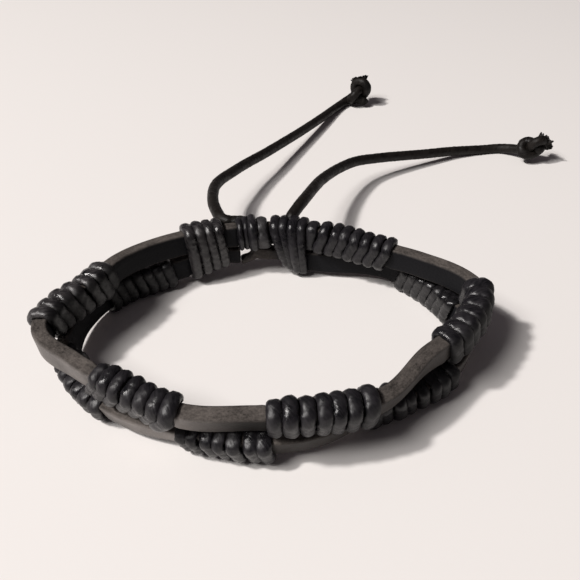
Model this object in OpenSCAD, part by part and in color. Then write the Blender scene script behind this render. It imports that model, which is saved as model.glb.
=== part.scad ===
// A two-strap leather bracelet that lies on its side: a lower and an upper leather
// strap, bound by turns of waxed cord and closed at the back by two slide knots.

/* [Leather straps] */
// Thickness of a strap, which shows on its cut top edge
strap_thick = 2.4; // [1.8:0.1:2.6]
// Height of one strap
strap_tall = 4.0; // [3:0.1:5]
// Bevel along the long edges of a strap
strap_bevel = 0.35; // [0.1:0.05:0.6]
// Height between the straps, which leaves room for a winding and a little air
strap_gap = 1.15; // [1.1:0.05:2]

/* [Cord windings] */
// How far a turn of cord stands out from the leather
turn_high = 1.0; // [0.6:0.1:1]
// How far a turn stands out where it is squeezed between the two straps
turn_squeezed = 0.5; // [0.45:0.05:0.55]
// Depth of the groove between two turns, as a share of the turn
groove = 0.4; // [0.1:0.05:0.6]
// Bevel of a winding's corners
turn_bevel = 0.9; // [0.4:0.1:1.2]
// Air between the leather and the cord beside it
side_air = 0.2; // [0.14:0.02:0.2]
// Air between the leather and the cord above and below it
edge_air = 0.12; // [0.1:0.02:0.14]

/* [Slide knots] */
// How far the turns of a slide knot stand out from the leather
knot_high = 0.9; // [0.8:0.1:1.4]
// How far the single keeper turn between the knots stands out
keeper_high = 0.5; // [0.4:0.1:0.9]
// How much the lower strap thins out at its end inside the right knot
right_skive = 3.0; // [2.6:0.1:3.2]
// How much it thins out at its other end, beside the left binding
left_skive = 1.5; // [0:0.1:2]

/* [Tie cords] */
// Diameter of the waxed cord
cord_d = 2.0; // [1.6:0.1:2]
// Diameter of the knot at a cord's end
end_knot_d = 5.6; // [4.4:0.2:6]
// Length of the cut end that stands out of an end knot
cut_end = 3.0; // [1.5:0.5:4]

/* [Hidden] */

leather = [0.16, 0.15, 0.15];
waxed_cord = [0.05, 0.05, 0.06];

// Where the loop's own centre is, so that the bracelet's box stands centred on the origin
home = [-1.3, 5.1];

// The two straps are given by their reach from the loop's centre and by how far they
// lean outwards at the top, in degrees, with a row for each 18 degrees from +X.
// The columns are upper reach, upper lean, lower reach, lower lean.
UPPER = 0;
LOWER = 2;
LOOP = [
    [35.0, -2, 33.5,  7], [29.0, -5, 31.0,  2], [24.0, -5, 28.0, -2], [21.5, -3, 22.5, -4],
    [20.5, -1, 20.5, -2], [20.0,  1, 20.0,  0], [20.0,  2, 20.0,  2], [21.0,  3, 21.0,  3],
    [23.0,  3, 23.5,  4], [24.5,  2, 28.0, 11], [27.5,  4, 30.0, 15], [34.0,  8, 31.5, 18],
    [31.5, 14, 31.0, 22], [30.0, 21, 29.5, 25], [30.0, 26, 28.0, 27], [29.5, 28, 28.5, 27],
    [30.0, 26, 28.5, 25], [30.5, 21, 27.5, 22], [30.0, 13, 30.0, 18], [33.0,  4, 33.0, 12]
];

// Bearings at which each strap starts and ends, counted round the loop from +X
upper_ends = [94.4, 453.6];
lower_ends = [102.5, 444.0];
strap_step = 3.2;

// The windings, one row each, in the order of the NODES from left_binding on.
// The columns are first bearing, last bearing, turns, slant in degrees, the strap at
// its top, the strap at its foot, and how far its turns stand out.
FIRST = 0;
LAST = 1;
TURNS = 2;
SLANT = 3;
TOP = 4;
FOOT = 5;
HIGH = 6;
WINDINGS = [
    [110.0, 130.0, 4,  3, UPPER, LOWER, turn_high],
    [170.5, 196.0, 7,  2, UPPER, UPPER, turn_high],
    [223.5, 250.0, 7,  4, UPPER, UPPER, turn_high],
    [276.5, 304.0, 7, -1, UPPER, UPPER, turn_high],
    [331.5, 361.0, 7, -2, UPPER, UPPER, turn_high],
    [388.5, 421.0, 7, -3, UPPER, UPPER, turn_high],
    [137.0, 168.0, 7,  2, LOWER, LOWER, turn_high],
    [198.0, 225.5, 7,  2, LOWER, LOWER, turn_high],
    [249.0, 275.5, 7,  2, LOWER, LOWER, turn_high],
    [304.0, 331.5, 7, -2, LOWER, LOWER, turn_high],
    [363.5, 389.5, 7, -2, LOWER, LOWER, turn_high],
    [ 94.0, 104.0, 3,  1, UPPER, UPPER, knot_high],
    [447.4, 453.0, 1,  1, UPPER, UPPER, keeper_high],
    [427.0, 445.0, 4,  3, UPPER, LOWER, knot_high]
];

// A turn's outline along the strap: how high it is at each quarter, from groove to groove
TURN_SHAPE = [1 - groove, 0.92, 1, 0.92];
quarters = len(TURN_SHAPE);

// Routes of the tie cords, from the slide knot to the end knot on the surface
LEFT_ROUTE = [
    [-7.1, 26.6, 9.7], [-7.6, 26.6, 9.8], [-8.2, 26.8, 9.8], [-9.1, 27.6, 9.9],
    [-10, 29.9, 9.9], [-11, 33.7, 9.7], [-11.5, 38.4, 9.2], [-11.5, 43.1, 8.6],
    [-10.7, 47.2, 8], [-8.9, 51.9, 7.3], [-6.1, 58.4, 6.4], [-2.2, 66, 5.4],
    [2, 74.8, 4.3], [6.6, 84.4, 3.2], [11.5, 95, 2.1], [15.7, 104.4, 1.2],
    [18.6, 109.4, 1.2], [20.6, 111.2, 1.9]
];
RIGHT_ROUTE = [
    [4, 27.2, 10.3], [4.1, 27.7, 10.4], [4.7, 28.9, 10.7], [5.7, 31.3, 10.9],
    [6.9, 35, 10.5], [8.6, 40.7, 9.7], [10.6, 46.4, 8.8], [14.1, 53.7, 7.5],
    [18.3, 59.9, 6.3], [23.4, 64.2, 5.1], [29.1, 67.8, 4], [36, 71.7, 2.8],
    [43, 75.4, 1.8], [49.9, 77.8, 1.1], [54.4, 78.6, 1.1], [57, 77.5, 1.6],
    [59.2, 75.4, 2.3]
];
cord_sides = 8;

// Where the end knots lie, how they are turned, and which way their cut ends point
LEFT_KNOT = [23.6, 111.4];
RIGHT_KNOT = [61.4, 73.6];

// The loop's values at a bearing, on a smooth curve through the rows of the table
function loop_row(bearing) =
    let (n = len(LOOP), at = (bearing % 360) / 360 * n, k = floor(at), t = at - k)
    let (p = [for (i = [-1:2]) LOOP[(k + i + n) % n]])
    0.5 * (2 * p[1] + (p[2] - p[0]) * t + (2 * p[0] - 5 * p[1] + 4 * p[2] - p[3]) * t * t
        + (3 * p[1] - p[0] - 3 * p[2] + p[3]) * t * t * t);

function plan(bearing, strap) = loop_row(bearing)[strap] * [cos(bearing), sin(bearing)];

function outward(bearing, strap) =
    let (d = plan(bearing + 0.5, strap) - plan(bearing - 0.5, strap))
    [d[1], -d[0], 0] / norm(d);

function lean(bearing, strap) = loop_row(bearing)[strap + 1];

// The two directions of a strap's section: through its thickness, and up its height
function thick_way(bearing, strap) =
    cos(lean(bearing, strap)) * outward(bearing, strap) - [0, 0, sin(lean(bearing, strap))];

function tall_way(bearing, strap) =
    sin(lean(bearing, strap)) * outward(bearing, strap) + [0, 0, cos(lean(bearing, strap))];

// The lower strap's windings rest on the surface, and the upper strap clears them
function lower_height(bearing) =
    let (a = abs(lean(bearing, LOWER)))
    (strap_tall / 2 + turn_high) * cos(a) + (strap_thick / 2 + turn_high) * sin(a);

function upper_height(bearing) =
    let (r = loop_row(bearing), apart = abs(r[UPPER + 1] - r[LOWER + 1]))
    let (needed = strap_tall / 2 * (1 + cos(apart)) + strap_thick / 2 * sin(apart) + strap_gap)
    lower_height(bearing) + (needed - (r[UPPER] - r[LOWER]) * sin(r[UPPER + 1])) / cos(r[UPPER + 1]);

function centre(bearing, strap) =
    let (p = plan(bearing, strap) + home)
    [p[0], p[1], strap == UPPER ? upper_height(bearing) : lower_height(bearing)];

// A rectangle with bevelled corners, as eight points, that reaches up and down by its
// own amount on each side of the strap's middle
function bevelled(wide, up, down, bevel) =
    let (x = wide / 2)
    [[x, up - bevel], [x - bevel, up], [-x + bevel, up], [-x, up - bevel],
     [-x, -down + bevel], [-x + bevel, -down], [x - bevel, -down], [x, -down + bevel]];

// How much the lower strap's underside rises where its ends thin out
function skive(bearing) =
    left_skive * max(0, (107.5 - bearing) / 5) + right_skive * pow(max(0, (bearing - 427) / 18), 2);

// A section set across the loop. Its upper half follows one strap and its lower half
// the other, and a slant brings its top forward and its foot back.
function ring(bearing, section, top, foot, slant) =
    [for (p = section)
        let (strap = p[1] > 0 ? top : foot, at = bearing + (p[1] > 0 ? slant : -slant) / 2)
        let (rise = p[1] < 0 && foot == LOWER ? skive(at) : 0)
        centre(at, strap) + p[0] * thick_way(at, strap) + (p[1] + rise) * tall_way(at, strap)];

// Triangles between rings that follow each other in a list of points
function skin(first, rings, n, outside) =
    [for (i = [0:rings - 2], j = [0:n - 1])
        let (a = first + i * n + j, b = first + i * n + (j + 1) % n)
        each outside ? [[a, b, b + n], [a, b + n, a + n]] : [[a, b + n, b], [a, a + n, b + n]]];

// Triangles between an outer and an inner ring at one end of a winding
function end_face(outer, inner, n, at_start) =
    [for (j = [0:n - 1])
        let (a = outer + j, b = outer + (j + 1) % n, c = inner + j, d = inner + (j + 1) % n)
        each at_start ? [[a, d, b], [a, c, d]] : [[a, b, d], [a, d, c]]];

module strap(strap, ends) {
    section = bevelled(strap_thick, strap_tall / 2, strap_tall / 2, strap_bevel);
    n = len(section);
    steps = ceil((ends[1] - ends[0]) / strap_step);
    rings = [for (i = [0:steps])
        ring(ends[0] + (ends[1] - ends[0]) * i / steps, section, strap, strap, 0)];
    color(leather)
        polyhedron([for (r = rings) each r], concat(
            skin(0, len(rings), n, true),
            [[for (j = [n - 1:-1:0]) j], [for (j = [0:n - 1]) steps * n + j]]));
}

// Distances along a strap from one bearing to another, each with its bearing
function marks(first, last, strap, steps = 40) =
    let (d = (last - first) / steps)
    [for (s = 0, i = 0; i <= steps;
        s = s + norm(plan(first + (i + 1) * d, strap) - plan(first + i * d, strap)), i = i + 1)
        [s, first + i * d]];

function bearing_at(marks, share) = lookup(share * marks[len(marks) - 1][0], marks);

// A winding is a ridged sleeve, hollow for the leather that it holds
module winding(w) {
    way = marks(w[FIRST], w[LAST], w[TOP]);
    parts = w[TURNS] * quarters;
    outer = [for (k = [0:parts])
        let (share = TURN_SHAPE[k % quarters])
        let (up = strap_tall / 2 + share * (w[TOP] == UPPER ? w[HIGH] : turn_squeezed))
        let (down = strap_tall / 2 + share * (w[FOOT] == LOWER ? turn_high : turn_squeezed))
        ring(bearing_at(way, k / parts),
            bevelled(strap_thick + 2 * w[HIGH] * share, up, down, turn_bevel),
            w[TOP], w[FOOT], w[SLANT])];
    inner = [for (k = [0:w[TURNS]])
        let (reach = strap_tall / 2 + edge_air)
        ring(bearing_at(way, k / w[TURNS]),
            bevelled(strap_thick + 2 * side_air, reach, reach, strap_bevel),
            w[TOP], w[FOOT], w[SLANT])];
    n = len(outer[0]);
    hollow = len(outer) * n;
    color(waxed_cord)
        polyhedron([for (r = concat(outer, inner)) each r], concat(
            skin(0, len(outer), n, true),
            skin(hollow, len(inner), n, false),
            end_face(0, hollow, n, true),
            end_face(hollow - n, hollow + (len(inner) - 1) * n, n, false)));
}

function unit(v) = v / norm(v);

// The route's points, with one more halfway where two of them are far apart
function with_halfway(route) =
    let (last = len(route) - 1)
    [for (i = [0:last])
        let (a = route[max(i - 1, 0)], b = route[i])
        let (before = route[max(i - 2, 0)], after = route[min(i + 1, last)])
        each norm(b - a) > 3 * cord_d ? [(9 * (a + b) - before - after) / 16, b] : [b]];

module tie_cord(points) {
    route = with_halfway(points);
    last = len(route) - 1;
    rings = [for (i = [0:last])
        let (t = unit(route[min(i + 1, last)] - route[max(i - 1, 0)]))
        let (side = unit(cross(t, [0, 0, 1])), up = cross(side, t))
        [for (k = [0:cord_sides - 1])
            let (a = 360 * (k + 0.5) / cord_sides)
            route[i] + cord_d / 2 * (cos(a) * side + sin(a) * up)]];
    color(waxed_cord)
        polyhedron([for (r = rings) each r], concat(
            skin(0, len(rings), cord_sides, true),
            [[for (k = [cord_sides - 1:-1:0]) k],
             [for (k = [0:cord_sides - 1]) last * cord_sides + k]]));
}

// An overhand knot drawn tight, with the cord's cut end standing out of it
module end_knot(place, turn, rise) {
    color(waxed_cord)
        translate([place[0], place[1], end_knot_d / 2])
            rotate([0, 0, turn]) {
                hull() {
                    sphere(d = end_knot_d, $fn = 12);
                    translate([end_knot_d * 0.22, 0, end_knot_d * 0.1])
                        sphere(d = end_knot_d * 0.8, $fn = 12);
                }
                rotate([0, 90 - rise, 0])
                    cylinder(d = cord_d, h = end_knot_d / 2 + cut_end, $fn = 12);
            }
}

strap(UPPER, upper_ends);  // upper_strap
strap(LOWER, lower_ends);  // lower_strap
winding(WINDINGS[0]);  // left_binding
winding(WINDINGS[1]);  // upper_winding_1
winding(WINDINGS[2]);  // upper_winding_2
winding(WINDINGS[3]);  // upper_winding_3
winding(WINDINGS[4]);  // upper_winding_4
winding(WINDINGS[5]);  // upper_winding_5
winding(WINDINGS[6]);  // lower_winding_1
winding(WINDINGS[7]);  // lower_winding_2
winding(WINDINGS[8]);  // lower_winding_3
winding(WINDINGS[9]);  // lower_winding_4
winding(WINDINGS[10]);  // lower_winding_5
winding(WINDINGS[11]);  // left_slide_knot
winding(WINDINGS[12]);  // keeper_turn
winding(WINDINGS[13]);  // right_slide_knot
tie_cord(LEFT_ROUTE);  // left_tie_cord
tie_cord(RIGHT_ROUTE);  // right_tie_cord
end_knot(LEFT_KNOT, 95, 40);  // left_end_knot
end_knot(RIGHT_KNOT, 25, 30);  // right_end_knot
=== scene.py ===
import collections
import math
import random

import bpy
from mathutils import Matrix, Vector


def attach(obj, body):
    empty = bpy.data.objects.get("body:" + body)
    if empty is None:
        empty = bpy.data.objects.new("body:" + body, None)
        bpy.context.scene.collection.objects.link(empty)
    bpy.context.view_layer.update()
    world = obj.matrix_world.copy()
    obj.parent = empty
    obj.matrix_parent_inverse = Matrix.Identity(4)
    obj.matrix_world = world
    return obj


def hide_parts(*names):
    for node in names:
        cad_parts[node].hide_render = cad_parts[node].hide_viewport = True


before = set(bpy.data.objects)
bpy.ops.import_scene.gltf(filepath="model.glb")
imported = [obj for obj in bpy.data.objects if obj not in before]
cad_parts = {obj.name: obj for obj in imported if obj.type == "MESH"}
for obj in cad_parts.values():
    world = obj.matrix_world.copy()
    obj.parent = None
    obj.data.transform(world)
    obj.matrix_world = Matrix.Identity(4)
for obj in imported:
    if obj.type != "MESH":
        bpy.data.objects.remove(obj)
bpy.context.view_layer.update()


# The camera stands in front of the bracelet and looks down on it as on a small thing on a
# table, about 34 degrees above it.
def put(name, data):
    """A new thing in the scene, made of this data."""
    thing = bpy.data.objects.new(name, data)
    bpy.context.scene.collection.objects.link(thing)
    return thing


camera = put("camera", bpy.data.cameras.new("camera"))
camera.data.lens = 48.07
camera.data.sensor_width = 36
camera.data.clip_start = 0.005
camera.location = (0.0037, -0.0984, 0.0797)
camera.rotation_euler = (math.radians(55.7), 0, 0)
bpy.context.scene.camera = camera
bpy.context.scene.view_settings.view_transform = "Standard"

# Two tie cords of braided polyester, 2 mm across and drawn through wax until they are stiff.
# Each comes out of its slide knot at the back, bends away from the loop and comes down to lie
# on the table, with a knot at its end. The braid is laid on by a tree that sweeps the cord.
MM = 0.001
CORD = 2.0
FREE_SWELL = 1.11  # a free cord is this much fatter than one that is drawn tight
BRAID_LENGTH, BRAID_STRANDS = 1.2, 4  # the braid's repeat along the cord, and strands each way
STRAND_LENGTH = 7.0  # a strand goes once round the cord in this length
LEFT_ROUTE = [
    (-7.1, 26.6, 9.7), (-7.6, 26.6, 9.8), (-8.2, 26.8, 9.8), (-9.1, 27.6, 9.9),
    (-10, 29.9, 9.9), (-11, 33.7, 9.7), (-11.5, 38.4, 9.2), (-11.5, 43.1, 8.6),
    (-10.7, 47.2, 8), (-8.9, 51.9, 7.3), (-6.1, 58.4, 6.4), (-2.2, 66, 5.4),
    (2, 74.8, 4.3), (6.6, 84.4, 3.2), (11.5, 95, 2.1), (15.7, 104.4, 1.2),
    (18.6, 109.4, 1.2), (20.6, 111.2, 1.9)]
RIGHT_ROUTE = [
    (4, 27.2, 10.3), (4.1, 27.7, 10.4), (4.7, 28.9, 10.7), (5.7, 31.3, 10.9),
    (6.9, 35, 10.5), (8.6, 40.7, 9.7), (10.6, 46.4, 8.8), (14.1, 53.7, 7.5),
    (18.3, 59.9, 6.3), (23.4, 64.2, 5.1), (29.1, 67.8, 4), (36, 71.7, 2.8),
    (43, 75.4, 1.8), (49.9, 77.8, 1.1), (54.4, 78.6, 1.1), (57, 77.5, 1.6),
    (59.2, 75.4, 2.3)]
# Each begins a little way inside its slide knot, where the knot's turns hold it.
LEFT_HELD = [(-4.3, 26.0, 9.9), (-5.6, 26.5, 9.75)]
RIGHT_HELD = [(3.8, 25.7, 8.4), (3.95, 26.8, 9.6)]


def between(a, b, c, d, t):
    """A place from b to c, for t from 0 to 1, on the smooth curve through all four."""
    return 0.5 * (2 * b + (c - a) * t + (2 * a - 5 * b + 4 * c - d) * t * t
                  + (3 * b - a - 3 * c + d) * t ** 3)


def smooth_line(points, step):
    """Points about one step apart on a smooth curve through the given ones."""
    points = [Vector(p) for p in points]
    ends = [points[0] * 2 - points[1], *points, points[-1] * 2 - points[-2]]
    line = []
    for a, b, c, d in zip(ends, ends[1:], ends[2:], ends[3:]):
        n = max(1, round((c - b).length / step))
        line += [between(a, b, c, d, i / n) for i in range(n)]
    return line + [points[-1]]


class Nodes:
    """A short way to write a node tree: each call adds a node and joins its sockets."""

    def __init__(self, tree):
        self.tree = tree

    def __call__(self, kind, out=0, sockets=None, **settings):
        n = self.tree.nodes.new(kind)
        for key, value in settings.items():
            setattr(n, key, value)
        self.join(n, sockets or {})
        return n if out is None else n.outputs[out]

    def join(self, n, sockets):
        """Link a node's sockets to the sockets given for them, or set them to the numbers."""
        for key, value in sockets.items():
            if isinstance(value, bpy.types.NodeSocket):
                self.tree.links.new(value, n.inputs[key])
            else:
                n.inputs[key].default_value = value

    def math(self, what, a, b=0.0):
        return self("ShaderNodeMath", operation=what, sockets={0: a, 1: b})

    def vector(self, what, a, b=None, out=0):
        sockets = {0: a} if b is None else {0: a, 1: b}
        return self("ShaderNodeVectorMath", out=out, operation=what, sockets=sockets)

    def scaled(self, a, by):
        return self("ShaderNodeVectorMath", operation="SCALE", sockets={0: a, "Scale": by})

    def summed(self, *parts):
        """The sum of some values, each given with how much it counts."""
        (value, share), *rest = parts
        first = self.math("MULTIPLY", value, share)
        return self.math("ADD", first, self.summed(*rest)) if rest else first

    def crossed(self, turn, run):
        """A braid's relief: strands that go round one way over strands that go the other."""
        return self.math("MAXIMUM", self.math("SINE", self.math("ADD", turn, run)),
                         self.math("SINE", self.math("SUBTRACT", turn, run)))

    def noise(self, place, scale, detail, rough=0.5):
        return self("ShaderNodeTexNoise", sockets={"Vector": place, "Scale": scale,
                                                   "Detail": detail, "Roughness": rough})

    def ramp(self, value, low, dark, high, pale):
        """Dark where the value is at or under the low one, pale at or over the high one."""
        made = self("ShaderNodeValToRGB", out=None, sockets={"Fac": value})
        start, end = made.color_ramp.elements
        start.position, start.color = low, (*dark, 1)
        end.position, end.color = high, (*pale, 1)
        return made.outputs["Color"]


def cord_sweeper():
    """A tree that lays a flattened round cord with a braided surface along a line of points."""
    tree = bpy.data.node_groups.new("cord sweeper", "GeometryNodeTree")
    for name, kind, value in (
            ("Line", "Geometry", None), ("Half width", "Float", CORD / 2 * MM),
            ("Braid height", "Float", 0.04 * MM), ("Braid length", "Float", BRAID_LENGTH * MM),
            ("Lumps", "Float", 0.2 * MM), ("Sides", "Int", 14),
            ("Strands", "Int", BRAID_STRANDS), ("Finish", "Material", None)):
        socket = tree.interface.new_socket(name, in_out="INPUT", socket_type="NodeSocket" + kind)
        if value is not None:
            socket.default_value = value
    tree.interface.new_socket("Cord", in_out="OUTPUT", socket_type="NodeSocketGeometry")
    n = Nodes(tree)
    given = n("NodeGroupInput", out=None).outputs

    def store(geometry, name, value, kind="FLOAT"):
        return n("GeometryNodeStoreNamedAttribute", data_type=kind, domain="POINT",
                 sockets={"Geometry": geometry, "Name": name, "Value": value})

    def read(name, kind="FLOAT"):
        return n("GeometryNodeInputNamedAttribute", data_type=kind, sockets={"Name": name})

    line = n("GeometryNodeMeshToCurve", sockets={"Mesh": given["Line"]})
    line = store(line, "middle", n("GeometryNodeInputPosition"), "FLOAT_VECTOR")
    line = store(line, "along", n("GeometryNodeSplineParameter", out="Length"))
    line = n("GeometryNodeSetCurveNormal", mode="FREE",
             sockets={"Curve": line, "Normal": read("away", "FLOAT_VECTOR")})
    ring = n("GeometryNodeCurvePrimitiveCircle",
             sockets={"Resolution": given["Sides"], "Radius": given["Half width"]})
    ring = store(ring, "around", n.math("MULTIPLY", n("GeometryNodeSplineParameter", out="Factor"),
                                        2 * math.pi))
    cord = n("GeometryNodeCurveToMesh",
             sockets={"Curve": line, "Profile Curve": ring, "Fill Caps": True})

    # Each point goes out as far as the cord is wide there, less along the way it is flattened.
    middle = read("middle", "FLOAT_VECTOR")
    away = n.vector("NORMALIZE", read("away", "FLOAT_VECTOR"))
    out = n.scaled(n.vector("SUBTRACT", n("GeometryNodeInputPosition"), middle), read("wide"))
    lift = n.vector("DOT_PRODUCT", out, away, out="Value")
    flat = n.scaled(away, n.math("MULTIPLY", lift, n.math("SUBTRACT", read("thick"), 1.0)))
    out = n.vector("ADD", out, flat)
    turn = n.math("MULTIPLY", read("around"), given["Strands"])
    run = n.math("MULTIPLY", n.math("DIVIDE", read("along"), given["Braid length"]), 2 * math.pi)
    lump = n.noise(n.vector("ADD", middle, out), 1200.0, 2.0)
    relief = n.summed((n.crossed(turn, run), given["Braid height"]),
                      (n.math("SUBTRACT", lump, 0.5), given["Lumps"]))
    out = n.vector("ADD", out, n.scaled(n.vector("NORMALIZE", out), relief))
    cord = n("GeometryNodeSetPosition",
             sockets={"Geometry": cord, "Position": n.vector("ADD", middle, out)})
    where = n("ShaderNodeCombineXYZ", sockets={0: n.math("COSINE", read("around")),
                                               1: n.math("SINE", read("around")),
                                               2: read("along")})
    cord = store(cord, "braid", where, "FLOAT_VECTOR")
    cord = n("GeometryNodeRealizeInstances", sockets={"Geometry": cord})
    cord = n("GeometryNodeSetShadeSmooth", sockets={"Geometry": cord})
    cord = n("GeometryNodeSetMaterial", sockets={"Geometry": cord, "Material": given["Finish"]})
    n("NodeGroupOutput", out=None, sockets={"Cord": cord})
    return tree


SWEEPER = cord_sweeper()


def new_finish(name):
    """A new material, the way to add nodes to it, and its shader."""
    material = bpy.data.materials.new(name)
    material.use_nodes = True
    return material, Nodes(material.node_tree), material.node_tree.nodes["Principled BSDF"]


def waxed_cord_finish(name, dark, worn, gloss, shine, nap):
    """Black braided polyester under a thin coat of wax, with a brown cast where it is dry.
    Where it faces +X, away from the lamps, its colour is darkened as painted shade, and it is made
    rougher there."""
    material, n, shader = new_finish(name)
    place = n("ShaderNodeTexCoord", out="Object")
    braid = n("ShaderNodeSeparateXYZ", out=None, sockets={
        0: n("ShaderNodeAttribute", out="Vector", attribute_name="braid")})
    angle = n.math("ARCTAN2", braid.outputs[1], braid.outputs[0])
    along = braid.outputs[2]
    over = n.crossed(n.math("MULTIPLY", angle, BRAID_STRANDS),
                     n.math("MULTIPLY", along, 2 * math.pi / (BRAID_LENGTH * MM)))
    twisted = n.math("ADD", angle, n.math("MULTIPLY", along, 2 * math.pi / (STRAND_LENGTH * MM)))
    lane = n("ShaderNodeCombineXYZ", sockets={0: n.math("MULTIPLY", n.math("COSINE", twisted), 3.2),
                                              1: n.math("MULTIPLY", n.math("SINE", twisted), 3.2),
                                              2: n.math("MULTIPLY", along, 900.0)})
    strands = n.noise(n.vector("ADD", lane, n.scaled(place, 90.0)), 1.0, 4.0, 0.62)
    fluff = n.noise(place, 2600.0, 4.0, 0.7)
    patch = n.noise(place, 420.0, 2.0)
    height = n.summed((over, 0.12), (strands, 1.1), (fluff, 0.7))
    bump = n("ShaderNodeBump", sockets={"Height": height, "Strength": 0.7, "Distance": nap * MM})
    tone = n.ramp(n.summed((strands, 0.6), (patch, 0.25), (fluff, 0.25)), 0.42, dark, 0.72, worn)
    rough = n("ShaderNodeMapRange", sockets={"Value": patch, "From Min": 0.35, "From Max": 0.65,
                                             "To Min": gloss, "To Max": gloss + 0.25})
    # Painted shade: the colour is darkened where the cord faces +X, away from the lamps.
    facing = n("ShaderNodeSeparateXYZ", sockets={
        0: n("ShaderNodeAttribute", out="Vector", attribute_name="away")})
    x_side_painted_shade = n("ShaderNodeMapRange", sockets={"Value": facing, "From Min": 0.2, "From Max": 0.8})
    colour = n.scaled(tone, n.math("SUBTRACT", 1.0, n.math("MULTIPLY", x_side_painted_shade, 0.85)))
    rough = n.math("ADD", rough, n.math("MULTIPLY", x_side_painted_shade, 0.25))
    n.join(shader, {"Base Color": colour, "Roughness": rough, "Normal": bump,
                    "Specular IOR Level": shine})
    return material


WAXED = waxed_cord_finish("waxed cord", dark=(0.0032, 0.0033, 0.0042),
                          worn=(0.0240, 0.0216, 0.0246), gloss=0.22, shine=0.34, nap=0.07)
TIE_CORD = waxed_cord_finish("tie cord", dark=(0.0026, 0.0022, 0.0020),
                             worn=(0.0180, 0.0145, 0.0125), gloss=0.38, shine=0.18, nap=0.07)


def mark_points(mesh, **marks):
    """Store lists on a mesh's points, with one number for each point, or three for a place."""
    for name, values in marks.items():
        plain = len(values) == len(mesh.vertices)
        kind, field = ("FLOAT", "value") if plain else ("FLOAT_VECTOR", "vector")
        mesh.attributes.new(name, kind, "POINT").data.foreach_set(field, values)


def lay_cord(name, runs, finish, sides=14, braid_height=0.014, lumps=0.16):
    """Cord along each run of points in mm. A run is its points, the way each faces off what it
    lies on, how high the cord is to its width there, and how wide it is to a plain 2 mm one."""
    points, joins, away, thick, wide = [], [], [], [], []
    for line, faces, heights, widths in runs:
        joins += [(len(points) + i, len(points) + i + 1) for i in range(len(line) - 1)]
        points += [Vector(p) * MM for p in line]
        away += [x for a in faces for x in a]
        thick += heights
        wide += widths
    mesh = bpy.data.meshes.new(name + " line")
    mesh.from_pydata(points, joins, [])
    mark_points(mesh, away=away, thick=thick, wide=wide)
    source = put(name + " line", mesh)
    sweep = source.modifiers.new("sweep", "NODES")
    sweep.node_group = SWEEPER
    inputs = {s.name: s.identifier for s in SWEEPER.interface.items_tree if s.in_out == "INPUT"}
    for key, value in (("Half width", CORD / 2 * MM), ("Sides", sides), ("Finish", finish),
                       ("Braid height", braid_height * MM), ("Lumps", lumps * MM)):
        sweep[inputs[key]] = value
    graph = bpy.context.evaluated_depsgraph_get()
    made = bpy.data.meshes.new_from_object(source.evaluated_get(graph))
    made.name = name
    bpy.data.objects.remove(source)
    return put(name, made)


def upright(line):
    """For each point of a free line, a direction square to it that keeps as upright as it can."""
    ways = []
    for i in range(len(line)):
        t = line[min(i + 1, len(line) - 1)] - line[max(i - 1, 0)]
        ways.append((Vector((0, 0, 1)) - t * t.z / t.length_squared).normalized())
    return ways


tie_cords = {}
for side, route in (("left", LEFT_HELD + LEFT_ROUTE), ("right", RIGHT_HELD + RIGHT_ROUTE)):
    line = smooth_line(route, 0.3)
    count = len(line)
    piece = lay_cord(side + "_cord", [(line, upright(line), [1.0] * count, [FREE_SWELL] * count)],
                     TIE_CORD)
    tie_cords[side] = (piece, line)
    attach(piece, "root")
    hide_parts(side + "_tie_cord")

# A cord ends in an overhand knot drawn down hard. It keeps the cord from slipping through the
# slide knot. Its end is cut a few millimetres from the knot, and the braid opens there like a cup.
# Each has its middle's place, the way its cut end points in degrees round and up, the cut end's
# length (stub), the way it is tied (hand), and the seed of its loose yarns.
KNOTS = {
    "left": dict(middle=(23.9, 110.2), turn=120, rise=60, size=1.1, stub=3.8, hand=1, seed=3),
    "right": dict(middle=(61.9, 72.6), turn=26, rise=32, size=0.96, stub=3.1, hand=-1, seed=8)}
KNOT_OPEN = 0.42  # how much of its round, in radians, is left open on each side for the ends
YARNS, YARN_LENGTH = 90, 1.2
EVEN_TURN = 0.381966  # the golden share of a turn from yarn to yarn spreads them evenly


def overhand_line(way_in, knot):
    """The cord's line from its route's end, once round and through itself, and out to the cut."""
    middle = Vector((*knot["middle"], CORD / 2 + 2.15 * knot["size"]))
    come = (middle - way_in).normalized()
    turn, rise = math.radians(knot["turn"]), math.radians(knot["rise"])
    out = Vector((math.cos(turn) * math.cos(rise), math.sin(turn) * math.cos(rise), math.sin(rise)))
    along = (come + out).normalized()
    side = along.cross(Vector((0, 0, 1))).normalized()
    up = side.cross(along)
    loop = []
    for i in range(25):
        t = math.pi + KNOT_OPEN + (2 * math.pi - 2 * KNOT_OPEN) * i / 24
        x = math.sin(t) + 2 * math.sin(2 * t)
        y = math.cos(t) - 2 * math.cos(2 * t) + 0.6
        z = knot["hand"] * 1.15 * math.sin(3 * t)
        loop.append(middle + (along * x + up * y + side * z) * knot["size"])
    if (loop[0] - way_in).length > (loop[-1] - way_in).length:
        loop.reverse()
    stub = [middle + out * (knot["stub"] - k) for k in (1.1, 0.5, 0)]
    return smooth_line([way_in, way_in + come * 0.4, *loop[1:-2], *stub], 0.22)


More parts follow.
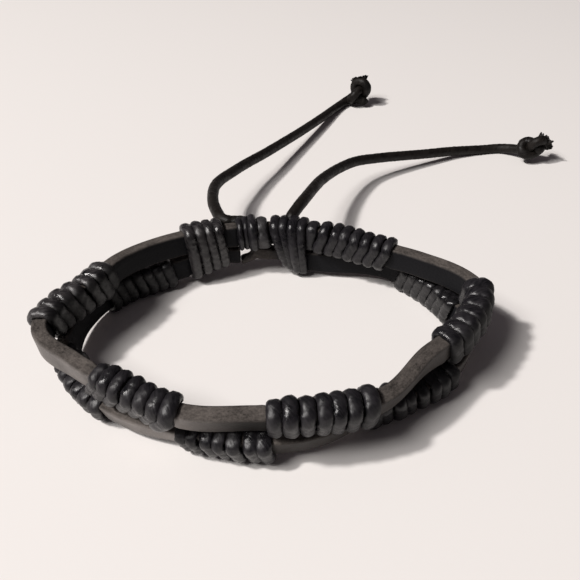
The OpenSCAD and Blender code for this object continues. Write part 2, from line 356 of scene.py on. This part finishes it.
def opened_end(tip, way, seed):
    """The cut braid's loose yarns, which spread from the end like a cup with a ragged rim."""
    rng = random.Random(seed)
    side = way.orthogonal().normalized()
    up = way.cross(side)
    yarns = []
    for k in range(YARNS):
        a, r = 2 * math.pi * k * EVEN_TURN, math.sqrt((k + 0.5) / YARNS)
        spoke = side * math.cos(a) + up * math.sin(a)
        root = tip - way * 0.5 + spoke * r * 1.6
        lean = spoke * r * rng.uniform(0.5, 0.75)
        lean += Vector([rng.uniform(-0.15, 0.15) for _ in range(3)])
        long = YARN_LENGTH * rng.uniform(0.8, 1.2)
        line = [root + (way * t + lean * t * t) * long for t in (0, 0.25, 0.5, 0.75, 1.0)]
        fat = rng.uniform(0.3, 0.42)
        widths = [fat * w for w in (1.1, 1.2, 1.2, 1.05, 0.55)]
        yarns.append((line, [spoke] * 5, [1.0] * 5, widths))
    return yarns


for side, knot in KNOTS.items():
    cord, line = tie_cords[side]
    bend = overhand_line(line[-1], knot)
    count = len(bend)
    swell = [1.12 + 0.6 * max(0.0, 1 - (count - 1 - i) / 13) ** 1.5 for i in range(count)]
    piece = lay_cord(side + "_overhand_knot", [(bend, upright(bend), [1.0] * count, swell)],
                     TIE_CORD, lumps=0.3)
    yarns = lay_cord(side + "_opened_end",
                     opened_end(bend[-1], (bend[-1] - bend[-4]).normalized(), knot["seed"]),
                     TIE_CORD, sides=5, braid_height=0)
    for made in (piece, yarns):
        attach(made, "root")
    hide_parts(side + "_end_knot")

# Two straps of split leather, 2.4 mm thick and cut 4 mm high, bent into a loop on their edges.
# Their sides are the dyed grain and the flesh side, and their cut edges are rough and paler.
# Every 18 degrees from +X: upper reach, upper lean, lower reach, lower lean.
LOOP = [
    (35.0, -2, 33.5, 7), (29.0, -5, 31.0, 2), (24.0, -5, 28.0, -2), (21.5, -3, 22.5, -4),
    (20.5, -1, 20.5, -2), (20.0, 1, 20.0, 0), (20.0, 2, 20.0, 2), (21.0, 3, 21.0, 3),
    (23.0, 3, 23.5, 4), (25.3, 2, 26.9, 9), (27.5, 4, 29.2, 13), (34.0, 8, 30.8, 18),
    (31.5, 14, 30.4, 22), (30.0, 21, 29.5, 25), (30.0, 26, 28.0, 27), (29.5, 28, 28.5, 27),
    (30.0, 26, 28.5, 25), (30.5, 21, 27.5, 22), (30.0, 13, 30.0, 18), (33.0, 4, 33.0, 12)]
HOME = (-1.3, 5.1)
UPPER, LOWER = 0, 2
STRAP_THICK, STRAP_TALL, STRAP_GAP, TURN_HIGH = 2.4, 4.0, 1.15, 1.0
STRAP_CORNER, STRAP_LENGTH = 0.38, 177
STRAP_ENDS = {UPPER: (94.4, 453.6), LOWER: (102.5, 461.8)}
PARED_FROM, FREE_FROM = 440, 453.5  # the lower strap's right end: where it is pared, and free


def loop_row(bearing):
    at = (bearing % 360) / 360 * len(LOOP)
    k, t = int(at), at - int(at)
    rows = [LOOP[(k + i) % len(LOOP)] for i in (-1, 0, 1, 2)]
    return [between(a, b, c, d, t) for a, b, c, d in zip(*rows)]


def hump(at, middle, width):
    return math.exp(-((at - middle) / width) ** 2)


def plan(bearing, strap):
    a = math.radians(bearing)
    return Vector((math.cos(a), math.sin(a), 0)) * loop_row(bearing)[strap]


def strap_frame(bearing, strap):
    """The middle of a strap's section, its thickness direction and its height direction."""
    row = loop_row(bearing)
    d = (plan(bearing + 0.5, strap) - plan(bearing - 0.5, strap)).normalized()
    n = Vector((d.y, -d.x, 0))
    a, low = math.radians(row[strap + 1]), abs(math.radians(row[LOWER + 1]))
    z = (STRAP_TALL / 2 + TURN_HIGH) * math.cos(low) + (STRAP_THICK / 2 + TURN_HIGH) * math.sin(low)
    if strap == UPPER:
        apart = abs(math.radians(row[UPPER + 1] - row[LOWER + 1]))
        needed = (STRAP_TALL / 2 * (1 + math.cos(apart)) + STRAP_THICK / 2 * math.sin(apart)
                  + STRAP_GAP)
        z += (needed - (row[UPPER] - row[LOWER]) * math.sin(a)) / math.cos(a)
    else:
        # The left binding draws it up, it bows up where only the upper strap is wound, and its
        # pared end slants up inside the right knot.
        z += hump(bearing, 117, 13) + 0.4 * hump(bearing, 186, 9)
        z += 0.04 * min(FREE_FROM - PARED_FROM, max(0.0, bearing - PARED_FROM))
    p = plan(bearing, strap)
    return (Vector((p.x + HOME[0], p.y + HOME[1], z)), n * math.cos(a) - Vector((0, 0, math.sin(a))),
            n * math.sin(a) + Vector((0, 0, math.cos(a))))


def skive(bearing):
    """How far the lower strap's underside rises where its ends are pared down."""
    left, right = max(0.0, (131 - bearing) / 22), max(0.0, (bearing - 424) / 18)
    return 1.5 * left ** 1.5 + 3.0 * right ** 2


# The bearings that are wound, with the strap at the top and at the foot of the turns, the turns'
# height, which of their faces shows, and what sets them apart: wound_line says what each word is.
Winding = collections.namedtuple(
    "Winding", "piece node finish first last turns slant top foot high shows own")
WINDINGS = [Winding(*row) for row in (
    ("left_binding_turns", "left_binding", "dry", 110.0, 130.0, 4, 2.5, UPPER, LOWER, 1.0,
     "inner", dict(belly=0.3, fat=(1.1, 1.05, 1.1, 1.15))),
    ("upper_turns_1", "upper_winding_1", "dry", 168.5, 196.0, 7, 2, UPPER, UPPER, 1.0,
     "top", dict(squeezed=0.95)),
    ("upper_turns_2", "upper_winding_2", "waxed", 223.5, 250.0, 7, 4, UPPER, UPPER, 1.0,
     "outer", dict(fat=(0.95, 1, 1, 1, 1, 1, 1.2))),
    ("upper_turns_3", "upper_winding_3", "waxed", 273.8, 302.2, 7, -0.5, UPPER, UPPER, 1.0,
     "outer", dict(twist=1.3, fat=(1, 1, 1, 1, 1, 1, 1.1))),
    ("upper_turns_4", "upper_winding_4", "waxed", 331.5, 361.0, 7, -2, UPPER, UPPER, 1.0,
     "top", dict(squeezed=0.95)),
    ("upper_turns_5", "upper_winding_5", "waxed", 388.5, 421.0, 7, -3, UPPER, UPPER, 1.0,
     "inner", dict(squeezed=0.95)),
    ("lower_turns_1", "lower_winding_1", "waxed", 137.0, 168.0, 7, 2, LOWER, LOWER, 1.0,
     "inner", {}),
    ("lower_turns_2", "lower_winding_2", "waxed", 198.0, 225.5, 7, 2, LOWER, LOWER, 1.0,
     "outer", {}),
    ("lower_turns_3", "lower_winding_3", "waxed", 249.0, 275.5, 7, -1, LOWER, LOWER, 1.0,
     "outer", dict(fat=(0.95, 0.95, 0.95, 1, 1.15, 1.15, 1.25))),
    ("lower_turns_4", "lower_winding_4", "waxed", 304.0, 335.4, 8, -2, LOWER, LOWER, 1.0,
     "outer", {}),
    ("lower_turns_5", "lower_winding_5", "painted_shade", 363.5, 389.5, 7, -2, LOWER, LOWER, 1.0,
     "inner", {}),
    ("left_knot_turns", "left_slide_knot", "waxed", 93.6, 104.0, 3, 0.6, UPPER, UPPER, 0.9,
     "inner", dict(belly=0.3, fat=(1.6, 0.9, 0.85))),
    ("keeper_band", "keeper_turn", "rubbed", 446.2, 453.8, 1, 1, UPPER, UPPER, 0.75,
     "inner", dict(belly=0.6, flare=0.35)),
    ("right_knot_flat_turn", "", "waxed", 421.2, 426.9, 1, -1.5, UPPER, UPPER, 0.6,
     "inner", {}),
    ("right_knot_turns", "right_slide_knot", "waxed", 426.5, 446.2, 4, 0, UPPER, LOWER, 0.9,
     "inner", dict(belly=0.8, gather=0.38, fat=(1, 1.15, 1.05, 1.0))))]


def pinch(bearing, strap):
    """How far the cord round it squeezes the leather in, and how it swells beside the cord."""
    squeeze = 0.0
    for w in WINDINGS:
        if strap in (w.top, w.foot):
            for turn in (-360, 0, 360):
                d = max(w.first - bearing - turn, bearing + turn - w.last) * 0.5
                squeeze += 0.10 / (1 + math.exp(min(60, d / 0.16))) - 0.035 * hump(d, 0.5, 0.4)
    return squeeze


def leather_finish():
    """Dyed leather: dark grained sides, made paler or darker by painted light and shade, and cut
    edges with a nap.
    """
    material, n, shader = new_finish("strap leather")
    place = n("ShaderNodeTexCoord", out="Object")
    cut, inner, worn = (n("ShaderNodeAttribute", out="Fac", attribute_name=name)
                        for name in ("cut", "inner", "worn"))
    run = n("ShaderNodeAttribute", out="Vector", attribute_name="run")
    fibres = n.noise(n.vector("MULTIPLY", run, (1100, 2300, 2300)), 1.0, 5.0, 0.65)
    speck = n.noise(place, 3600.0, 5.0, 0.7)
    cloud = n.noise(place, 190.0, 3.0)
    grain = n("ShaderNodeTexVoronoi", sockets={"Vector": place, "Scale": 2200.0})
    nap = n.summed((fibres, 0.6), (speck, 0.5))
    pale = n.ramp(n.summed((nap, 0.75), (cloud, 0.35)),
                  0.44, (0.020, 0.0175, 0.016), 0.74, (0.118, 0.103, 0.093))
    grey = n.ramp(n.summed((cloud, 0.6), (speck, 0.4)),
                  0.35, (0.066, 0.061, 0.058), 0.75, (0.170, 0.157, 0.149))
    # The sides' grey is scaled by the painted light and shade stored on the strap's points.
    dyed = n("ShaderNodeMix", out=2, data_type="RGBA",
             sockets={0: inner, 6: n.scaled(grey, worn), 7: (0.0066, 0.0066, 0.0080, 1)})
    colour = n("ShaderNodeMix", out=2, data_type="RGBA", sockets={0: cut, 6: dyed, 7: pale})
    rough = n("ShaderNodeMapRange", sockets={"Value": cut, "To Min": 0.55, "To Max": 0.85})
    relief = n("ShaderNodeMix", out=0, data_type="FLOAT",
               sockets={0: cut, 2: n.math("MULTIPLY", grain, 0.35), 3: nap})
    bump = n("ShaderNodeBump", sockets={"Height": relief, "Strength": 0.6, "Distance": 0.12 * MM})
    n.join(shader, {"Base Color": colour, "Roughness": rough, "Normal": bump,
                    "Specular IOR Level": 0.1})
    return material


LEATHER = leather_finish()


def strap_outline(thin, rise):
    """A strap's section as points round it: the place across its thickness and up its height,
    and how much of the point is cut edge."""
    a, b, r = STRAP_THICK / 2 - thin, STRAP_TALL / 2 - thin, STRAP_CORNER
    low = -b + r + rise
    outline = []
    for cx, cy, start, nx, ny in ((a - r, b - r, 0, -1, 0), (-a + r, b - r, 90, 0, -1),
                                  (-a + r, low, 180, 1, 0), (a - r, low, 270, 0, 1)):
        for i in range(5):
            t = math.radians(start + 90 * i / 4)
            outline.append((cx + r * math.cos(t), cy + r * math.sin(t), abs(math.sin(t)) ** 1.5))
        span = 2 * (a - r) if nx else 2 * (b - r) - rise
        for i in (1, 2, 3):
            outline.append((cx + r * math.cos(t) + nx * span * i / 4,
                            cy + r * math.sin(t) + ny * span * i / 4, abs(nx)))
    return outline


# Painted light and shade on the outer sides, by bearing: paler on the left, which faces the lamps,
# and darkest at the front right, which turns away from them.
PAINTED_LIGHT_BY_BEARING = [(90, 1.0), (190, 1.0), (205, 1.45), (225, 1.55), (240, 2.0), (250, 2.5), (257, 1.3),
            (263, 0.65), (268, 0.24), (273, 0.15), (276, 0.55), (300, 0.55), (312, 0.75),
            (345, 0.75), (365, 1.0), (460, 1.0)]


def painted_light_at(bearing):
    for (b0, p0), (b1, p1) in zip(PAINTED_LIGHT_BY_BEARING, PAINTED_LIGHT_BY_BEARING[1:]):
        if b0 <= bearing <= b1:
            return p0 + (p1 - p0) * (bearing - b0) / (b1 - b0)
    return 1.0


def lower_shape(bearing):
    """What sets the lower strap apart: how far its underside rises, how flat its free end droops
    like a tongue, how far it is pared, and how high a crest stands along its top."""
    tongue = max(0.0, bearing - FREE_FROM)
    rise = min(skive(bearing), 1.7 - 0.13 * tongue if bearing > 300 else 1.15)
    ease = min(1.0, tongue / 4.0)
    droop = 0.74 * ease * ease * (3 - 2 * ease)
    pared = min(1.0, max(0.0, (bearing - PARED_FROM) / 8))
    crest = 0.85 * hump(bearing, 173, 11) + 0.7 * hump(bearing, 198, 3)
    return rise, droop, pared, crest


def make_strap(name, strap):
    """A strap as rings of its section along the loop, with slow waves that follow its cut."""
    first, last = STRAP_ENDS[strap]
    rng = random.Random(11 + strap)
    waves = [(rng.uniform(0.1, 0.7), rng.uniform(0, 6.3), rng.uniform(0.006, 0.02))
             for _ in range(12)]
    rings = 520
    points, faces, cut, run, inner, worn = [], [], [], [], [], []
    gone = 0.0
    before = None
    for i in range(rings + 1):
        bearing = first + (last - first) * i / rings
        middle, across, up = strap_frame(bearing, strap)
        gone += (middle - before).length if before else 0.0
        before = middle
        rise, droop, pared, crest = lower_shape(bearing) if strap == LOWER else (0, 0, 0, 0)
        from_end = min(i, rings - i) / rings * STRAP_LENGTH
        thin = pinch(bearing, strap) + 0.25 * max(0, 1 - from_end / 0.5) ** 2
        outline = strap_outline(thin, rise)
        # The painted light and shade of the outer sides at this bearing.
        pale = painted_light_at(bearing)
        for j, (x, y, edge) in enumerate(outline):
            y -= (y + STRAP_TALL / 2 - rise) * droop
            wave = sum(h * math.sin(f * gone + p + j * 0.4 * (k % 3))
                       for k, (f, p, h) in enumerate(waves))
            out = across * x * (1 + wave / STRAP_THICK * 0.5)
            high = y + wave * 0.4 + crest * (y > 0) * (1.5 if x < 0 else 1.0)
            points.append((middle + out + up * high) * MM)
            cut.append(max(edge, 0.7 * pared))
            run += [gone * MM, x * MM, y * MM]
            inner.append(min(1, max(0, 0.5 - x / (STRAP_THICK / 2 - 0.3))))
            worn.append(pale)
    n = len(outline)
    for i in range(rings):
        for j in range(n):
            a, b = i * n + j, i * n + (j + 1) % n
            faces.append((a, a + n, b + n, b))
    faces.append(tuple(range(n)))
    faces.append(tuple(rings * n + n - 1 - j for j in range(n)))
    mesh = bpy.data.meshes.new(name)
    mesh.from_pydata(points, [], faces)
    mark_points(mesh, cut=cut, inner=inner, worn=worn, run=run)
    mesh.materials.append(LEATHER)
    mesh.shade_smooth()
    return put(name, mesh)


for name, node, strap in (("upper_leather", "upper_strap", UPPER),
                          ("lower_leather", "lower_strap", LOWER)):
    piece = make_strap(name, strap)
    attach(piece, "root")
    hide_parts(node)

# The windings are the same waxed cord, wound by hand in touching turns round a strap and
# drawn so tight that it flattens on the leather. Its ends are tucked under the turns, on the
# side that doesn't show. Between the straps the turns are squeezed to half their height.
SQUEEZED = 0.5
ROUND_EDGE = 0.66  # how round a tight turn goes over the leather's edges
SUNK = 0.16  # how far a turn sinks into the leather
TUCKED = 0.2  # the share of the first and of the last turn that goes under the others
FLAT_FOOT = 0.6  # how high the turns that take in both straps are under the foot
END_INSET = 0.45  # how far from the ends, in turns, the middle of the cord stays
LINE_STEP = 0.26  # how far apart the points of a wound cord's line are
ABOVE_TABLE = 0.06
# By the face that shows: where on its walk round the strap a turn starts, and from which share
# of the turn to which it lies straight.
SHOWN = {"outer": (0.75, 0.2, 0.7), "inner": (0.25, 0.3, 0.8), "top": (0.5, 0.12, 0.88)}


def walk_round(tall):
    """A strap's section as one closed walk from the middle of its top, outer side first: for each
    stretch its length, then its place across, its place down and the way it faces, from and to."""
    edge, corner = STRAP_THICK / 2 - ROUND_EDGE, math.pi / 2 * (ROUND_EDGE + TURN_HIGH / 2)
    return [(edge, 0, edge, 0, 0, 90, 90), (corner, edge, edge, 0, 0, 90, 0),
            (tall, edge, edge, 0, 1, 0, 0), (corner, edge, edge, 1, 1, 0, -90),
            (2 * edge, edge, -edge, 1, 1, -90, -90), (corner, -edge, -edge, 1, 1, -90, -180),
            (tall, -edge, -edge, 1, 0, -180, -180), (corner, -edge, -edge, 0, 0, -180, -270),
            (edge, -edge, 0, 0, 0, -270, -270)]


def walked(walk, at):
    """The place across, the place down and the way it faces, some way along the walk."""
    for long, *span in walk:
        if at <= long:
            break
        at -= long
    f = min(1.0, at / long)
    across, down, facing = (a + (b - a) * f for a, b in zip(span[::2], span[1::2]))
    return across, down, math.radians(facing)


def eased(values, q):
    """The value at a place between two of a list, with no corner at either."""
    k, f = int(q), q - int(q)
    f = f * f * (3 - 2 * f)
    return values[k] * (1 - f) + values[k + 1] * f


def step_across(q, turns, straight_from, straight_to):
    """How many turns across the cord is after q turns round. Where a turn shows it lies
    straight, and out of sight it steps across to the next one."""
    k = min(int(q), turns - 1)
    u = q - k
    crossing = straight_from + 1 - straight_to
    if u < straight_from:
        c = (u + 1 - straight_to) / crossing
        return 0.5 if k == 0 else k - 0.5 + c * c * (3 - 2 * c)
    if u > straight_to:
        c = (u - straight_to) / crossing
        return turns - 0.5 if k == turns - 1 else k + 0.5 + c * c * (3 - 2 * c)
    return k + 0.5


def even_bearings(w):
    """The length of the wound stretch, and a way to find the bearing at a share of it."""
    steps = 60
    marks = [(0.0, w.first)]
    for i in range(1, steps + 1):
        a, b = (w.first + (w.last - w.first) * k / steps for k in (i - 1, i))
        marks.append((marks[-1][0] + (plan(b, w.top) - plan(a, w.top)).length, b))

    def bearing_at(share):
        s = share * marks[-1][0]
        for (s0, b0), (s1, b1) in zip(marks, marks[1:]):
            if s <= s1:
                return b0 + (b1 - b0) * (s - s0) / (s1 - s0)
        return w.last

    return marks[-1][0], bearing_at


def wound_line(w, seed, belly=0.0, gather=0.0, twist=0.0, flare=0.0, fat=None, squeezed=SQUEEZED):
    """The line of a wound cord's middle, the way it faces, and how high and how wide it is.
    belly is how far the turns stand off the leather at half height, gather how far they draw
    together at the foot, twist how far the last turns lean across the strap's edge, flare how
    much wider they get to the foot, fat each turn's size, and squeezed their height next to the
    other strap, which is nearly full where nothing is wound under them."""
    rng = random.Random(seed)
    long, bearing_at = even_bearings(w)
    begin, straight_from, straight_to = SHOWN[w.shows]
    walk = walk_round(2 * (STRAP_TALL / 2 - ROUND_EDGE)
                      + (STRAP_TALL + STRAP_GAP if w.top != w.foot else 0))
    around = sum(stretch[0] for stretch in walk)
    per_turn = max(30, round(around / LINE_STEP))
    wander = [rng.uniform(-0.09, 0.09) for _ in range(w.turns + 3)]
    swell = [rng.uniform(0.93, 1.08) * k for k in (1, *(fat or [1] * w.turns), 1, 1)]
    puff = [rng.uniform(-0.13, 0.16) for _ in range(2 * w.turns + 4)]
    over_top = w.high if w.top == UPPER else squeezed
    under_foot = squeezed if w.foot == UPPER else TURN_HIGH if w.top == LOWER else FLAT_FOOT
    reach = STRAP_TALL / 2 - ROUND_EDGE
    line, away, height, width = [], [], [], []
    for i in range(w.turns * per_turn + 1):
        q = i / per_turn
        turn = step_across(q, w.turns, straight_from, straight_to) + eased(wander, q + 0.5)
        bearing = bearing_at(min(max(turn, END_INSET), w.turns - END_INSET) / w.turns)
        across, down, facing = walked(walk, (q + begin) % 1.0 * around)
        sine, cosine = math.sin(facing), math.cos(facing)
        side = (across + cosine * TURN_HIGH) / (STRAP_THICK / 2 + TURN_HIGH)
        bearing -= side * twist * (bearing - w.first) / (w.last - w.first)
        foot_at = bearing - w.slant / 2 + gather * (w.first - bearing)
        middle_t, across_t, up_t = strap_frame(bearing + w.slant / 2, w.top)
        middle_f, across_f, up_f = strap_frame(foot_at, w.foot)
        rise = skive(foot_at) if w.foot == LOWER else 0.0
        under = ((middle_t + across_t * across + up_t * reach) * (1 - down)
                 + (middle_f + across_f * across - up_f * (reach - rise)) * down)
        faces = ((across_t * (1 - down) + across_f * down) * cosine
                 + (up_t * (1 - down) + up_f * down) * sine).normalized()
        end_high = over_top if sine > 0 else under_foot
        half = (w.high + (end_high - w.high) * sine ** 2 + SUNK) / 2
        half += 0.10 * (1 - sine ** 2 * (end_high == squeezed))
        grow = eased(swell, q + 0.5)
        tuck = max(0.0, 1 - min(q, w.turns - q) / TUCKED)
        out = ROUND_EDGE + half - SUNK - half * 0.9 * tuck
        if belly:
            half += 0.25 * cosine ** 2
        out += (belly * math.sin(math.pi * down) + eased(puff, 2 * q)) * cosine ** 2
        spot = under + faces * out
        spot.z = max(spot.z, half * grow * abs(faces.z) + ABOVE_TABLE)
        line.append(spot)
        away.append(faces)
        height.append(half * grow * (1 - 0.6 * tuck))
        width.append(long / w.turns / 2 * 0.97 * grow * (1 - 0.35 * tuck)
                     * (1 + flare * (down - 0.5)))
    return line, away, height, width


# The cord is dull where it rubs on a sleeve and dry where the wax has gone. The last finish is a
# glossier copy of the waxed cord, made darker as painted shade for lower winding 5.
FINISHES = {
    "waxed": WAXED,
    "rubbed": waxed_cord_finish("rubbed cord", dark=(0.0080, 0.0079, 0.0088),
                                worn=(0.0580, 0.0550, 0.0570), gloss=0.28, shine=0.36, nap=0.10),
    "dry": waxed_cord_finish("dry cord", dark=(0.0030, 0.0030, 0.0036),
                             worn=(0.0510, 0.0460, 0.0470), gloss=0.17, shine=0.50, nap=0.08),
    # A glossier copy of the waxed cord whose darker colour is painted shade.
    "painted_shade": waxed_cord_finish("fresh wax", dark=(0.0024, 0.0024, 0.0030),
                               worn=(0.0150, 0.0138, 0.0152), gloss=0.15, shine=0.50, nap=0.08)}
for seed, winding in enumerate(WINDINGS):
    line, away, height, width = wound_line(winding, seed, **winding.own)
    piece = lay_cord(winding.piece, [(line, away, [h / w for h, w in zip(height, width)],
                                      [w / (CORD / 2) for w in width])],
                     FINISHES[winding.finish], sides=18, lumps=0.45)
    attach(piece, "root")
    if winding.node:
        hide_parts(winding.node)

# A flat sheet of pale paper lies under the bracelet. A small bright lamp and a larger soft one
# beside it light it from the left, and a dim pale room from all round.
paper, n, shader = new_finish("paper")
tooth = n.noise(n("ShaderNodeTexCoord", out="Object"), 900.0, 3.0)
n.join(shader, {"Base Color": (0.80, 0.775, 0.755, 1), "Roughness": 0.8,
                "Specular IOR Level": 0.2,
                "Normal": n("ShaderNodeBump", sockets={"Height": tooth, "Strength": 0.05,
                                                       "Distance": 0.1 * MM})})
sheet = bpy.data.meshes.new("paper")
sheet.from_pydata([(-3, -3, 0), (3, -3, 0), (3, 3, 0), (-3, 3, 0)], [], [(0, 1, 2, 3)])
sheet.materials.append(paper)
put("paper", sheet)
LIT = Vector((0, 0.02, 0))


def lamp(name, place, width, power, colour):
    """A square lamp that is turned to the back of the loop."""
    data = bpy.data.lights.new(name, "AREA")
    data.shape = "RECTANGLE"
    data.size = data.size_y = width
    data.energy = power
    data.color = colour
    lit = put(name, data)
    lit.location = place
    lit.rotation_euler = (LIT - Vector(place)).to_track_quat("-Z", "Y").to_euler()


lamp("key", (-1.27, -0.49, 1.59), width=0.17, power=38, colour=(1.0, 0.96, 0.935))
lamp("window", (-1.02, -0.82, 1.45), width=0.58, power=20, colour=(1.0, 0.97, 0.95))
world = bpy.data.worlds.new("room")
bpy.context.scene.world = world
world.use_nodes = True
room = world.node_tree.nodes["Background"].inputs
room["Color"].default_value = (1.0, 0.87, 0.94, 1)
room["Strength"].default_value = 0.062
